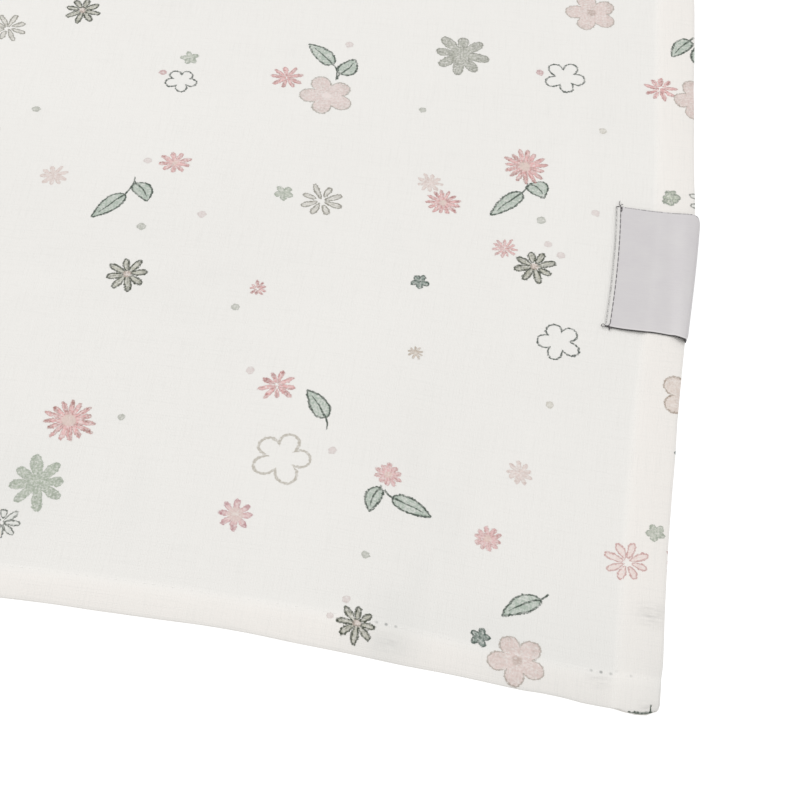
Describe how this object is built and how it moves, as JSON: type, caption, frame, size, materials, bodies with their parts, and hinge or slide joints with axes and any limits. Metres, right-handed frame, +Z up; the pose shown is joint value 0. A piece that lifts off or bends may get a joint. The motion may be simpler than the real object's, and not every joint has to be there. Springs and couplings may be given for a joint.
{
  "type": "swaddle blanket",
  "caption": "Large square of fine muslin laid flat, with narrow turned hems, a small scattered flower print and a satin label folded round one hem.",
  "frame": {"origin": "under the middle of the whole blanket, on the surface that it lies on", "axes": "+X to the right along the near hem, +Y away from the near hem along the right-hand hem that holds the label, +Z up off the surface"},
  "size_m": [1.1054, 1.1, 0.0049],
  "materials": {
    "muslin": "fine plain-woven cotton, off-white, matt, printed on its face",
    "satin": "light grey woven satin ribbon with a soft sheen"
  },
  "bodies": {
    "root": {"blanket": "muslin", "label": "satin"}
  },
  "joints": []
}
